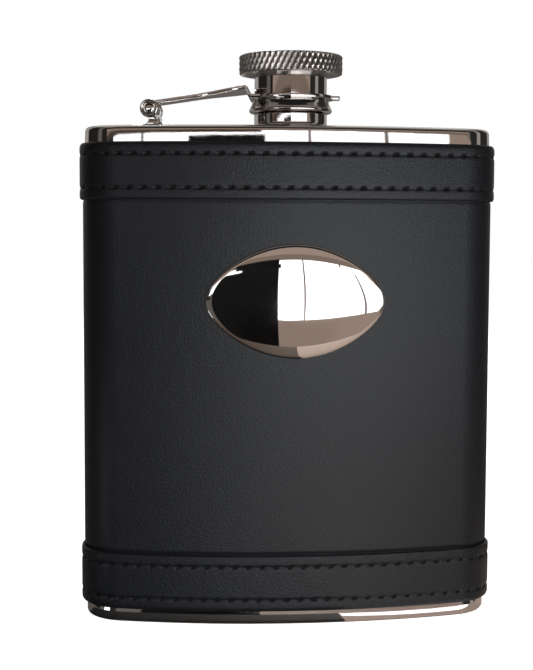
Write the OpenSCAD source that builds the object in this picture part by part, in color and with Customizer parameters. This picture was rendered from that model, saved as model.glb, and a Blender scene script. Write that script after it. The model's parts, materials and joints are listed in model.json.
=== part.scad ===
// Hip flask with a captive screw cap, wrapped in stitched leather. Millimetres, +Z up.
// The origin is under the middle of the base, X runs across the width, and the curved front faces -Y.

/* [Bottle] */
// Width of the steel bottle
steel_w = 92.4; // [80:0.4:110]
// Depth of the steel bottle, front face to back face
steel_d = 21.5; // [21:0.5:26]
// Height of the steel bottle, without the neck
steel_h = 110.9; // [95:0.1:140]
// Bend radius of the front face
front_r = 160; // [130:5:220]
// Radius of the four upright corners
corner_r = 10; // [8:0.5:10]
// Thickness of the stainless sheet
sheet_t = 0.6; // [0.4:0.1:0.8]

/* [Leather] */
// Thickness of the main wrap
wrap_t = 0.5; // [0.4:0.1:1]
// Thickness of the two bands over the wrap
band_t = 0.7; // [0.6:0.1:1.2]
// Bare steel left under the wrap
wrap_low = 3.3; // [3:0.1:6]
// Bare steel left above the wrap
wrap_gap = 3.65; // [3.5:0.05:6]
// Height of each band
band_h = 12.6; // [10:0.1:16]
// Distance of each row of stitches from its band's edge
stitch_in = 2.6; // [2:0.1:4]

/* [Badge] */
// Width of the oval plate
badge_w = 39.8; // [30:0.2:50]
// Height of the oval plate
badge_h = 25.2; // [18:0.1:32]
// Height of the plate's middle above the base
badge_z = 72.4; // [55:0.1:80]
// How far the plate sits to the right of the bottle's middle
badge_x = 0.4; // [-5:0.1:5]
// How far the plate's middle stands out past its rim
badge_rise = 2.2; // [1:0.1:3]

/* [Neck and cap] */
// Radius of the plain foot of the neck
foot_r = 8.15; // [7.5:0.05:9]
// Radius over the neck's thread
neck_r = 6.3; // [6:0.05:6.4]
// Radius of the pouring bore
bore_r = 5; // [4:0.1:5.2]
// Radius of the knurled head
head_r = 11.6; // [10:0.1:12]
// Height of the knurled head
head_h = 4.2; // [3:0.1:6]
// Outer radius of the threaded sleeve
sleeve_r = 8.1; // [8:0.05:8.5]
// Height of the cap, lip to top
cap_h = 12.8; // [12:0.1:15]

/* [Captive arm] */
// Distance from the neck's axis to the hinge pin
arm_reach = 31.3; // [28:0.1:34]
// Angle that the arm is turned to follow the bend of the body
arm_turn = 6; // [0:0.5:8]
// Height of the hinge pin above the bottle's top
pin_up = 4; // [3.5:0.1:5]
// Radius of the hinge pin
pin_r = 0.6; // [0.5:0.05:0.8]
// Width of the strip at the hinge
strip_w = 7; // [5:0.5:8]
// Thickness of the strip
strip_t = 0.8; // [0.6:0.1:1]

/* [Hidden] */

steel = [0.80, 0.80, 0.82];
dark_steel = [0.62, 0.61, 0.60];
leather = [0.12, 0.12, 0.13];
thread_black = [0.05, 0.05, 0.05];
silicone = [0.88, 0.88, 0.86];
foam = [0.92, 0.92, 0.90];

// Outline of the body: two arcs about one bend centre, joined by four corner arcs.
back_r = front_r - steel_d;
corner_x = steel_w / 2 - corner_r;
front_turn = asin(corner_x / (front_r - corner_r));
back_turn = asin(corner_x / (back_r + corner_r));
corner_front = (front_r - corner_r) * cos(front_turn);
corner_back = (back_r + corner_r) * cos(back_turn);
face_steps = 16;
corner_steps = 10;

// Layers, as distances out from the steel's outer face.
wrap_out = wrap_t;
band_out = wrap_t + band_t;
groove_deep = 0.3;
groove_out = band_out - groove_deep;
groove_h = 0.6;
past = 0.4;

// The plate over the wrap is the foremost point and the bands' back corners are the rearmost.
badge_rim = 0.5;
front_most = front_r + wrap_out + badge_rim + badge_rise;
back_most = corner_back - corner_r - band_out;
bend_y = (front_most + back_most) / 2;
neck_y = bend_y - (front_r + back_r) / 2;

wrap_top = steel_h - wrap_gap;
upper_low = wrap_top - band_h;
lower_top = wrap_low + band_h;
seam_w = 0.2;

// Stamped end plates: a rounded edge and a short flange that butts against the tube.
edge_r = 1.1;
top_flange = 1.7;
base_flange = 2.4;
recess = 0.8;
recess_in = 3.7;

// Neck and cap, as heights.
foot_h = 3;
spigot_r = 7;
shoulder_z = steel_h + foot_h;
cap_z = shoulder_z + 0.15;
neck_top = steel_h + 10;
ridge = 0.45;
pitch = 1.5;
ridges = 4;
sleeve_in = neck_r + 0.65;
seal_t = 1;
seal_gap = 0.1;
seal_z = neck_top + seal_gap;
cap_top = cap_z + cap_h;
head_z = cap_top - head_h;
socket_up = 1.8;
collar_h = 2.95;
collar_r = 9.3;
collar_waist = 8.5;
lip_t = 0.25;
chamfer = 0.45;

// Arm, hinge and pin, in the arm's own frame: x runs from the hinge to the neck.
pin_z = steel_h + pin_up;
pin_clear = 0.05;
knuckle_r = 1.9;
ring_clear = 0.08;
ring_r = 9.65;
ring_t = 0.7;
ring_z = cap_z + collar_h + 0.15;
tab_end = 11;
tab_w = 3.5;
strip_rise = 3.3;
joggle_x = -9.7;
shank_end = -22;
root_w = 14;
ear_gap = 8;
ear_t = 0.9;
ear_r = 2.05;
bracket_t = 0.5;
bracket_l = 4.6;
foot_w = 2;
foot_shift = 0.8;
rivet_r = 2.1;
rivet_h = 0.9;

function arc(centre, r, from, to, steps) =
    [for (i = [0 : steps - 1]) let (a = from + (to - from) * i / steps) centre + r * [cos(a), sin(a)]];

function outline(out) = let (
        bend = [0, bend_y],
        r = corner_r + out,
        front_right = bend + [corner_x, -corner_front],
        back_right = bend + [corner_x, -corner_back],
        front_left = bend + [-corner_x, -corner_front],
        back_left = bend + [-corner_x, -corner_back]
    ) concat(
        arc(bend, front_r + out, -90 - front_turn, -90 + front_turn, face_steps),
        arc(front_right, r, -90 + front_turn, 0, corner_steps),
        arc(back_right, r, 0, 90 + back_turn, corner_steps),
        arc(bend, back_r - out, -90 + back_turn, -90 - back_turn, face_steps),
        arc(back_left, r, 90 - back_turn, 180, corner_steps),
        arc(front_left, r, 180, 270 - front_turn, corner_steps)
    );

// Skin over a stack of closed rings of equal length, from an upward cap to a downward one.
module skin(rings) {
    n = len(rings[0]);
    last = len(rings) - 1;
    polyhedron(
        points = [for (ring = rings) each ring],
        faces = concat(
            [[for (i = [n - 1 : -1 : 0]) i]],
            [for (k = [0 : last - 1], i = [0 : n - 1]) [k * n + i, k * n + (i + 1) % n, (k + 1) * n + (i + 1) % n]],
            [for (k = [0 : last - 1], i = [0 : n - 1]) [k * n + i, (k + 1) * n + (i + 1) % n, (k + 1) * n + i]],
            [[for (i = [0 : n - 1]) last * n + i]]
        )
    );
}

// Each level is [height, distance out from the steel's face].
module stamping(levels) {
    skin([for (level = levels) [for (p = outline(level[1])) [p[0], p[1], level[0]]]]);
}

module tube(low, high, inner, outer) {
    translate([0, 0, low])
        linear_extrude(high - low)
            difference() {
                polygon(outline(outer));
                polygon(outline(inner));
            }
}

module back_slit(low, high) {
    translate([-seam_w / 2, 0, low - past])
        cube([seam_w, steel_d, high - low + 2 * past]);
}

module at_neck() {
    translate([0, neck_y, 0])
        children();
}

module along_arm() {
    at_neck()
        rotate([0, 0, -arm_turn])
            children();
}

// Side view drawn in X and Z, drawn out evenly about the arm's middle.
module side_slab(width) {
    translate([0, width / 2, 0])
        rotate([90, 0, 0])
            linear_extrude(width)
                children();
}

module cross_pin(r, from, to) {
    translate([-arm_reach, from, pin_z])
        rotate([-90, 0, 0])
            cylinder(r = r, h = to - from, $fn = 48);
}

module body_shell() {
    color(steel)
        tube(base_flange, steel_h - top_flange, -sheet_t, 0);
}

module top_plate() {
    color(steel)
        difference() {
            stamping([
                [steel_h, -edge_r],
                for (a = [30, 60]) [steel_h - edge_r * (1 - cos(a)), -edge_r * (1 - sin(a))],
                [steel_h - edge_r, 0],
                [steel_h - top_flange, 0],
                [steel_h - top_flange, -sheet_t],
                [steel_h - edge_r, -sheet_t],
                [steel_h - sheet_t, -edge_r]
            ]);
            at_neck()
                translate([0, 0, steel_h - sheet_t - past])
                    cylinder(r = spigot_r, h = sheet_t + 2 * past, $fn = 96);
        }
}

module base_plate() {
    color(steel)
        stamping([
            [recess + sheet_t, -recess_in - sheet_t / 2],
            [sheet_t, 1 - recess_in],
            [sheet_t, -edge_r],
            [edge_r, -sheet_t],
            [base_flange, -sheet_t],
            [base_flange, 0],
            [edge_r, 0],
            for (a = [60, 30]) [edge_r * (1 - cos(a)), -edge_r * (1 - sin(a))],
            [0, -edge_r],
            [0, 1.5 - recess_in],
            [recess, -recess_in]
        ]);
}

// Ring ridges up a wall: points from low to high, standing out by the ridge's height.
function ridge_points(low, root, crest) = [
    for (i = [0 : ridges - 1], p = [[root, 0], [crest, 0.35], [crest, 0.7], [root, 1.05]])
        [p[0], low + i * pitch + p[1]]
];

module neck() {
    color(steel)
        at_neck()
            rotate_extrude($fn = 96)
                polygon(concat(
                    [
                        [bore_r, steel_h - sheet_t],
                        [spigot_r, steel_h - sheet_t],
                        [spigot_r, steel_h],
                        [foot_r + 0.9, steel_h],
                        [foot_r + 0.25, steel_h + 0.25],
                        [foot_r, steel_h + 0.9],
                        [foot_r, shoulder_z - 0.2],
                        [foot_r - 0.2, shoulder_z]
                    ],
                    [[neck_r - ridge, shoulder_z]],
                    ridge_points(shoulder_z + 0.5, neck_r - ridge, neck_r),
                    [
                        [neck_r - ridge, neck_top - 0.3],
                        [neck_r - ridge - 0.3, neck_top],
                        [bore_r, neck_top]
                    ]
                ));
}

module cap_sleeve() {
    color(dark_steel)
        at_neck()
            rotate_extrude($fn = 96)
                polygon(concat(
                    [[0, head_z + socket_up], [0, seal_z + seal_t], [sleeve_in + ridge, seal_z + seal_t]],
                    [for (i = [1 : 4 * ridges]) let (p = ridge_points(cap_z + 0.7, sleeve_in + ridge, sleeve_in))
                        p[4 * ridges - i]],
                    [
                        [sleeve_in + ridge, cap_z + lip_t],
                        [sleeve_r, cap_z + lip_t],
                        [sleeve_r, head_z + socket_up]
                    ]
                ));
}

module cap_head() {
    color(dark_steel)
        at_neck()
            rotate_extrude($fn = 96)
                polygon([
                    [0, head_z + socket_up],
                    [sleeve_r, head_z + socket_up],
                    [sleeve_r, head_z],
                    [head_r - chamfer, head_z],
                    [head_r, head_z + chamfer],
                    [head_r, cap_top - chamfer],
                    [head_r - chamfer, cap_top],
                    [0, cap_top]
                ]);
}

module cap_collar() {
    color(dark_steel)
        at_neck()
            rotate_extrude($fn = 96)
                polygon([
                    [sleeve_in + 0.15, cap_z],
                    [collar_r - 0.6, cap_z],
                    [collar_r - 0.2, cap_z + 0.2],
                    [collar_r, cap_z + 0.6],
                    [collar_r - 0.2, cap_z + 1.1],
                    [collar_waist + 0.25, cap_z + 1.9],
                    [collar_waist, cap_z + collar_h],
                    [sleeve_r, cap_z + collar_h],
                    [sleeve_r, cap_z + lip_t],
                    [sleeve_in + 0.15, cap_z + lip_t]
                ]);
}

module cap_seal() {
    color(silicone)
        at_neck()
            translate([0, 0, seal_z])
                cylinder(r = sleeve_in + 0.2, h = seal_t, $fn = 96);
}

module hinge_pin() {
    out = ear_gap / 2 + ear_t;
    color(steel)
        along_arm() {
            cross_pin(pin_r, -out, out);
            translate([-arm_reach, -out, pin_z])
                rotate([90, 0, 0])
                    rotate_extrude($fn = 48)
                        polygon([
                            [0, 0],
                            [rivet_r, 0],
                            for (a = [0 : 15 : 75]) [rivet_r * cos(a), rivet_h * (0.15 + 0.85 * sin(a))],
                            [0, rivet_h]
                        ]);
            cross_pin(rivet_r - 0.5, out, out + rivet_h / 2);
        }
}

module ear_side() {
    translate([-arm_reach, pin_z])
        circle(r = ear_r, $fn = 64);
    polygon([
        [-arm_reach - 1.7, pin_z - 0.6],
        [foot_shift - arm_reach - foot_w / 2, steel_h + bracket_t + 0.9],
        [foot_shift - arm_reach - foot_w / 2 - 0.8, steel_h + bracket_t / 2],
        [foot_shift - arm_reach + foot_w / 2 + 0.8, steel_h + bracket_t / 2],
        [foot_shift - arm_reach + foot_w / 2, steel_h + bracket_t + 0.9],
        [-arm_reach + 1.7, pin_z - 0.6],
        [-arm_reach, pin_z]
    ]);
}

module hinge_bracket() {
    color(steel)
        along_arm()
            difference() {
                union() {
                    for (side = [-1, 1])
                        translate([0, side * (ear_gap + ear_t) / 2, 0])
                            side_slab(ear_t)
                                ear_side();
                    translate([foot_shift - arm_reach - bracket_l / 2, -ear_gap / 2 - ear_t, steel_h])
                        cube([bracket_l, ear_gap + 2 * ear_t, bracket_t]);
                }
                cross_pin(pin_r, -ear_gap, ear_gap);
            }
}

// Side view of a bent strip: its top face follows the path and the sheet lies under it.
module bent_strip(path, t) {
    n = len(path) - 1;
    way = [for (i = [0 : n - 1]) (path[i + 1] - path[i]) / norm(path[i + 1] - path[i])];
    mid = [for (i = [0 : n]) way[max(i - 1, 0)] + way[min(i, n - 1)]];
    under = [for (i = [0 : n]) let (m = mid[i] / norm(mid[i]), w = way[min(i, n - 1)])
        path[i] + t / (m * w) * [m[1], -m[0]]];
    polygon(concat(path, [for (i = [0 : n]) under[n - i]]));
}

module arm_side() {
    strip_top = pin_z + knuckle_r - 0.1;
    slope = strip_rise / (arm_reach + joggle_x);
    bent_strip([
        [-arm_reach, strip_top],
        [joggle_x - 0.5, strip_top + slope * (arm_reach + joggle_x - 0.5)],
        [joggle_x + 0.15, strip_top + strip_rise - 0.35],
        [joggle_x + 0.85, ring_z + ring_t + 0.25],
        [joggle_x + 1.4, ring_z + ring_t],
        [tab_end + past, ring_z + ring_t]
    ], strip_t);
}

module arm_plan() {
    circle(r = ring_r, $fn = 128);
    polygon([
        [-arm_reach, -strip_w / 2],
        [shank_end, -strip_w / 2],
        [shank_end + 3, -strip_w / 2 - 0.45],
        [shank_end + 7, -root_w / 2 + 1],
        [joggle_x - 0.5, -root_w / 2],
        [0, -root_w / 2],
        [0, root_w / 2],
        [joggle_x - 0.5, root_w / 2],
        [shank_end + 7, root_w / 2 - 1],
        [shank_end + 3, strip_w / 2 + 0.45],
        [shank_end, strip_w / 2],
        [-arm_reach, strip_w / 2]
    ]);
    translate([0, -tab_w / 2])
        square([tab_end, tab_w]);
}

module captive_arm() {
    color(steel)
        along_arm()
            difference() {
                union() {
                    intersection() {
                        side_slab(3 * ring_r)
                            arm_side();
                        translate([0, 0, steel_h])
                            linear_extrude(cap_h)
                                arm_plan();
                    }
                    cross_pin(knuckle_r, -strip_w / 2, strip_w / 2);
                }
                cross_pin(pin_r + pin_clear, -ear_gap, ear_gap);
                translate([0, 0, steel_h])
                    cylinder(r = sleeve_r + ring_clear, h = cap_h, $fn = 128);
            }
}

module leather_wrap() {
    color(leather)
        difference() {
            tube(wrap_low, wrap_top, 0, wrap_out);
            back_slit(wrap_low, wrap_top);
        }
}

module band(low) {
    color(leather)
        difference() {
            tube(low, low + band_h, wrap_out, band_out);
            for (z = [low + stitch_in, low + band_h - stitch_in])
                tube(z - groove_h / 2, z + groove_h / 2, groove_out, band_out + past);
            back_slit(low, low + band_h);
        }
}

module upper_band() {
    band(upper_low);
}

module lower_band() {
    band(wrap_low);
}

module thread_run(z) {
    color(thread_black)
        tube(z - groove_h / 2, z + groove_h / 2, groove_out, band_out);
}

module upper_band_top_thread() {
    thread_run(wrap_top - stitch_in);
}

module upper_band_low_thread() {
    thread_run(upper_low + stitch_in);
}

module lower_band_top_thread() {
    thread_run(lower_top - stitch_in);
}

module lower_band_low_thread() {
    thread_run(wrap_low + stitch_in);
}

// Oval rings on the plate: each has a size from 0 to 1 and a height over the wrap's curved face.
oval_power = 1.7;
oval_steps = 40;
inner_size = 0.96;
adhesive_gap = 0.05;
adhesive_size = inner_size - 0.01;
dome_steps = [0.06, 0.3, 0.52, 0.72, 0.88, 1];

function signed_power(v, e) = sign(v) * pow(abs(v), e);

function oval_ring(size, height) = [
    for (i = [0 : oval_steps - 1])
        let (
            a = 360 * i / oval_steps,
            x = badge_x + size * badge_w / 2 * signed_power(cos(a), 2 / oval_power),
            z = badge_z + size * badge_h / 2 * signed_power(sin(a), 2 / oval_power)
        )
        [x, bend_y - sqrt(pow(front_r + wrap_out, 2) - x * x) - height, z]
];

function dome(size) = badge_rim + badge_rise * (1 - size * size);

function inner_dome(size) = badge_rise * (1 - size * size);

module badge_plate() {
    color(steel)
        skin(concat(
            [for (s = dome_steps) oval_ring(s, dome(s))],
            [oval_ring(1, 0), oval_ring(inner_size, 0)],
            [for (i = [2 : len(dome_steps)]) let (s = dome_steps[len(dome_steps) - i])
                oval_ring(s * inner_size, inner_dome(s))]
        ));
}

module badge_adhesive() {
    color(foam)
        skin(concat(
            [for (i = [0 : len(dome_steps) - 2]) let (s = dome_steps[i])
                oval_ring(s * adhesive_size, inner_dome(s) - adhesive_gap)],
            [for (i = [1 : len(dome_steps)]) let (s = dome_steps[len(dome_steps) - i])
                oval_ring(s * adhesive_size, adhesive_gap)]
        ));
}

body_shell();
top_plate();
base_plate();
neck();
hinge_bracket();
hinge_pin();
captive_arm();
cap_sleeve();
cap_head();
cap_collar();
cap_seal();
leather_wrap();
upper_band();
lower_band();
upper_band_top_thread();
upper_band_low_thread();
lower_band_top_thread();
lower_band_low_thread();
badge_plate();
badge_adhesive();
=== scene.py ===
import json
import math

import bmesh
import bpy
import numpy as np
from mathutils import Matrix, Vector


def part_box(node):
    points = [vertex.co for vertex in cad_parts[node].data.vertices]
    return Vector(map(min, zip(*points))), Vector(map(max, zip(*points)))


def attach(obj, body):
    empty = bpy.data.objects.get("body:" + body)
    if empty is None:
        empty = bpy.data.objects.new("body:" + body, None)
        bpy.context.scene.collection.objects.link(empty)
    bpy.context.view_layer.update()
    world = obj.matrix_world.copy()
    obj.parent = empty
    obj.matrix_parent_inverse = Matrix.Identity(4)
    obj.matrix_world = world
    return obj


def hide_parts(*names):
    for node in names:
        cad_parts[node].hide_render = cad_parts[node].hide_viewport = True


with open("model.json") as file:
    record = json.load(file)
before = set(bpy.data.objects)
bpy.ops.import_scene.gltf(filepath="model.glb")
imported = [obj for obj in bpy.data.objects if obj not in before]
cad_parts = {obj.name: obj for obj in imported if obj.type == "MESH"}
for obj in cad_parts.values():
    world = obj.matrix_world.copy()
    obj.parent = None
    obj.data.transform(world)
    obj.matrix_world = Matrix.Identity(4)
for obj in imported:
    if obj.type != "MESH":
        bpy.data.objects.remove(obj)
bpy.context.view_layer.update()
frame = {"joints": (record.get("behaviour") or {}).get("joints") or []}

# --- Table, light and camera -------------------------------------------------------------
# The flask stands on a pale table in a bright room. Polished steel shows only what is
# around it, so window panels and dark and taupe cards stand where a room would have them.
MM = 0.001
CAMERA_AT = (-0.0295, -0.3077, 0.0884)
CAMERA_YAW = math.radians(4.53)
CAMERA_PITCH = math.radians(-4.50)
CAMERA_ROLL = math.radians(0.24)
CAMERA_LENS = 72.8
FRAME_SENSOR = 36.0


def linear(hex_colour):
    """sRGB hex to linear RGBA."""
    parts = [int(hex_colour[i:i + 2], 16) / 255 for i in (1, 3, 5)]
    return tuple(c / 12.92 if c < 0.04045 else ((c + 0.055) / 1.055) ** 2.4 for c in parts) + (1.0,)


def add_node(tree, kind, inputs=None, **settings):
    """Adds one node, with its settings, and its inputs as values or as links from sockets."""
    node = tree.nodes.new(kind)
    for key, value in settings.items():
        setattr(node, key, value)
    for key, value in (inputs or {}).items():
        if isinstance(value, bpy.types.NodeSocket):
            tree.links.new(value, node.inputs[key])
        else:
            node.inputs[key].default_value = value
    return node


def new_material(name):
    """An empty material and its tree."""
    made = bpy.data.materials.new(name)
    made.use_nodes = True
    made.node_tree.nodes.clear()
    return made, made.node_tree


def finished(made, inputs):
    """Ends a material in one shader with these inputs."""
    shader = add_node(made.node_tree, "ShaderNodeBsdfPrincipled", inputs)
    add_node(made.node_tree, "ShaderNodeOutputMaterial", {0: shader.outputs[0]})
    return made


def maths(tree, way, *values):
    """One sum on values or sockets, as a socket."""
    return add_node(tree, "ShaderNodeMath", dict(enumerate(values)), operation=way).outputs[0]


def spread(tree, value, low, high, to_low=0.0, to_high=1.0, kind="LINEAR"):
    """A value's stretch from low to high, mapped onto another, as a socket."""
    return add_node(tree, "ShaderNodeMapRange", {
        "Value": value, "From Min": low, "From Max": high, "To Min": to_low, "To Max": to_high},
        interpolation_type=kind).outputs[0]


def mix(tree, share, a, b, kind="RGBA"):
    """Two colours or two values mixed, as a socket."""
    mixed = add_node(tree, "ShaderNodeMix", {"Factor": share, "A": a, "B": b}, data_type=kind)
    return mixed.outputs["Result"]


def make_object(name, mesh, material):
    """Links a mesh into the scene as an object at the origin."""
    made = bpy.data.objects.new(name, mesh)
    bpy.context.scene.collection.objects.link(made)
    made.data.materials.clear()
    made.data.materials.append(material)
    return made


def card(name, corners, material):
    """A flat card that only polished surfaces see, so that it lights nothing and hides nothing."""
    mesh = bpy.data.meshes.new(name)
    mesh.from_pydata(corners, [], [(0, 1, 2, 3)])
    made = make_object(name, mesh, material)
    made.visible_camera = False
    made.visible_diffuse = False
    made.visible_shadow = False
    return made


def standing(name, left, right, low, high, material, y=-0.102):
    """An upright card in front of the flask."""
    return card(name, [(left, y, low), (right, y, low), (right, y, high), (left, y, high)], material)


def lying(name, left, right, front, back, material, z=0.0004):
    """A card that lies on the table."""
    return card(name, [(left, front, z), (right, front, z), (right, back, z), (left, back, z)], material)


def studio_paint(name, hex_colour, glow):
    """A matt paint with a glow of its own, so that a card keeps its tone in any light."""
    tint = linear(hex_colour)
    return finished(new_material(name)[0], {
        "Base Color": tint, "Roughness": 0.9, "Emission Color": tint, "Emission Strength": glow})


def window(name, centre, width, height, radiance, look_at):
    """A soft window panel: an area light, out of the camera's sight."""
    lamp = bpy.data.lights.new(name, "AREA")
    lamp.shape = "RECTANGLE"
    lamp.size = width
    lamp.size_y = height
    lamp.energy = radiance * math.pi * width * height
    made = bpy.data.objects.new(name, lamp)
    made.location = centre
    made.rotation_euler = (Vector(look_at) - Vector(centre)).to_track_quat("-Z", "Y").to_euler()
    made.visible_camera = False
    bpy.context.scene.collection.objects.link(made)
    return made


# The room all round: grey levels by compass direction, from the left, behind, through the front.
ROOM_TONES = (
    (-180, 0.05), (-168, 0.05), (-163, 0.4), (-134, 0.4), (-129, 0.02), (-89, 0.02),
    (-85, 0.15), (-76, 0.15), (-72, 0.02), (-50, 0.02), (-40, 0.05), (-36, 0.16),
    (55, 0.2), (57, 0.03), (78, 0.03), (81, 0.4), (90, 0.4), (94, 0.03),
    (128, 0.03), (133, 0.4), (163, 0.4), (168, 0.05), (180, 0.05))
ROOM_WARMTH = (1.0, 0.95, 0.91)
ROOM_OVERHEAD = (0.22, 0.2, 0.185, 1.0)
bpy.context.scene.view_settings.view_transform = "Standard"
world = bpy.data.worlds.new("pale_room")
bpy.context.scene.world = world
world.use_nodes = True
sky = world.node_tree
sky.nodes.clear()
direction = add_node(sky, "ShaderNodeTexCoord").outputs["Generated"]
heading = add_node(sky, "ShaderNodeSeparateXYZ", {0: direction})
compass = maths(sky, "ARCTAN2", heading.outputs[0], maths(sky, "MULTIPLY", heading.outputs[1], -1.0))
tones = add_node(sky, "ShaderNodeValToRGB", {0: spread(sky, compass, -math.pi, math.pi)})
while len(tones.color_ramp.elements) < len(ROOM_TONES):
    tones.color_ramp.elements.new(0.5)
for stop, (degrees, tone) in zip(tones.color_ramp.elements, ROOM_TONES):
    stop.position = (degrees + 180) / 360
    stop.color = (*(tone * w for w in ROOM_WARMTH), 1.0)
overhead = spread(sky, heading.outputs[2], 0.55, 0.8, kind="SMOOTHSTEP")
room = mix(sky, overhead, tones.outputs[0], ROOM_OVERHEAD)
backdrop = add_node(sky, "ShaderNodeBackground", {"Color": (1.0, 1.0, 1.0, 1.0), "Strength": 1.0})
surround = add_node(sky, "ShaderNodeBackground", {"Color": room, "Strength": 1.0})
seen = add_node(sky, "ShaderNodeMixShader", {
    0: add_node(sky, "ShaderNodeLightPath").outputs["Is Camera Ray"],
    1: surround.outputs[0], 2: backdrop.outputs[0]})
add_node(sky, "ShaderNodeOutputWorld", {0: seen.outputs[0]})

TABLE_SIZE = 3.0
for name, tint, glow, height in (("table", "#F8F8F7", 0.93, 0.0), ("table_tone", "#8C8783", 0.25, -0.0002)):
    corners = [(x * TABLE_SIZE, y * TABLE_SIZE, height) for x, y in ((-1, -1), (1, -1), (1, 1), (-1, 1))]
    mesh = bpy.data.meshes.new(name)
    mesh.from_pydata(corners, [], [(0, 1, 2, 3)])
    top = make_object(name, mesh, studio_paint(name, tint, glow))
    top.visible_camera = name == "table"
    top.visible_diffuse = top.visible_glossy = name == "table_tone"

# Most of the upright cards share one plane. Those that overlap another stand just behind it.
BEHIND = -0.1021
black_card = studio_paint("black_card", "#060607", 0.5)
umber_card = studio_paint("umber_card", "#42372F", 0.9)
clay_card = studio_paint("clay_card", "#75685F", 0.84)
brown_card = studio_paint("brown_card", "#5F534C", 0.9)
taupe_card = studio_paint("taupe_card", "#93837A", 0.84)
white_card = studio_paint("white_card", "#F6F9FF", 1.6)
standing("black_card_left", -0.077, -0.0086, 0.0, 0.115, black_card)
standing("black_card_high", -0.0486, -0.0066, 0.115, 0.1208, black_card)
standing("umber_card_left", -0.2, -0.0086, 0.1228, 0.129, umber_card)
standing("clay_card_high", -0.2, 0.16, 0.127, 0.136, clay_card, BEHIND)
standing("taupe_card_high", -0.2, 0.16, 0.136, 0.165, taupe_card)
standing("black_card_top", -0.2, 0.2, 0.165, 0.3, black_card)
standing("white_card_left", -0.12, -0.0772, 0.085, 0.1228, white_card)
standing("white_card_left_high", -0.0757, -0.0086, 0.115, 0.1228, white_card, -0.1022)
standing("white_card_middle", -0.0086, 0.0163, 0.043, 0.127, white_card, BEHIND)
card("white_card_right", [(0.0178, BEHIND, 0.043), (0.0885, BEHIND, 0.043), (0.0785, BEHIND, 0.115),
                          (0.0178, BEHIND, 0.115)], white_card)
card("white_card_far_right", [(0.0916, BEHIND, 0.043), (0.2, BEHIND, 0.043), (0.2, BEHIND, 0.115),
                              (0.0805, BEHIND, 0.115)], white_card)
standing("white_card_right_high", 0.0178, 0.0605, 0.115, 0.127, white_card, BEHIND)
standing("white_card_far_right_high", 0.0628, 0.106, 0.115, 0.127, white_card, BEHIND)
standing("taupe_card_far_right", 0.106, 0.2, 0.115, 0.127, taupe_card, BEHIND)
standing("white_card_near", 0.0275, 0.0345, 0.088, 0.0975, white_card, -0.05)
standing("black_card_near", -0.031, -0.0056, 0.0955, 0.1005, black_card, -0.05)
card("white_card_side", [(-0.12, -0.06, 0.001), (-0.12, -0.03, 0.001), (-0.12, -0.03, 0.03),
                         (-0.12, -0.06, 0.03)], white_card)
standing("window_bars", 0.012, 0.095, 0.04, 0.127, brown_card, -0.1026)
standing("taupe_card_low", -0.0086, 0.16, 0.0005, 0.043, taupe_card)
lying("taupe_mat", 0.012, 0.2, -0.1019, 0.03, taupe_card)
lying("umber_mat", -0.12, 0.012, -0.1019, -0.045, umber_card)
lying("black_mat", -0.12, 0.012, -0.045, 0.0, black_card)
card("white_strip", [(0.012, -0.0168, 0.0008), (0.046, -0.0105, 0.0008), (0.046, -0.0072, 0.0008),
                     (0.012, -0.0142, 0.0008)], white_card)

flask_middle = (0.0, 0.0, 0.06)
window("window_front", (0.22, -0.78, 0.11), 0.42, 0.26, 3.2, flask_middle)
window("window_low", (0.04, -0.21, 0.03), 0.12, 0.05, 31.0, (0.0, 0.0, 0.03))
window("window_back", (0.0, 0.8, 0.66), 0.16, 0.3, 18.0, flask_middle)
window("ceiling", (0.0, 0.6, 1.1), 1.2, 1.0, 0.6, flask_middle)

camera_data = bpy.data.cameras.new("camera")
camera_data.sensor_fit = "VERTICAL"
camera_data.sensor_height = FRAME_SENSOR
camera_data.lens = CAMERA_LENS
camera_data.clip_start = 0.01
camera = bpy.data.objects.new("camera", camera_data)
camera.matrix_world = (
    Matrix.Translation(CAMERA_AT)
    @ Matrix.Rotation(-CAMERA_YAW, 4, "Z")
    @ Matrix.Rotation(math.pi / 2 + CAMERA_PITCH, 4, "X")
    @ Matrix.Rotation(CAMERA_ROLL, 4, "Z"))
bpy.context.scene.collection.objects.link(camera)
bpy.context.scene.camera = camera

# --- Steel bottle: tube and end plates ---------------------------------------------------
# A tube of thin stainless sheet, bent to a kidney in plan, with a stamped lid and a
# stamped base welded on. The welds are ground flush and everything is mirror-polished.
FRONT_R = 160 * MM
STEEL_D = 21.5 * MM
CORNER_R = 10 * MM
SHEET = 0.6 * MM
EDGE_R = 1.1 * MM
RECESS = 0.8 * MM
RECESS_IN = 3.7 * MM

shell_low, shell_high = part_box("body_shell")
top_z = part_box("top_plate")[1][2]
bend_y = shell_low[1] + FRONT_R
back_r = FRONT_R - STEEL_D
corner_x = shell_high[0] - CORNER_R


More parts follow.
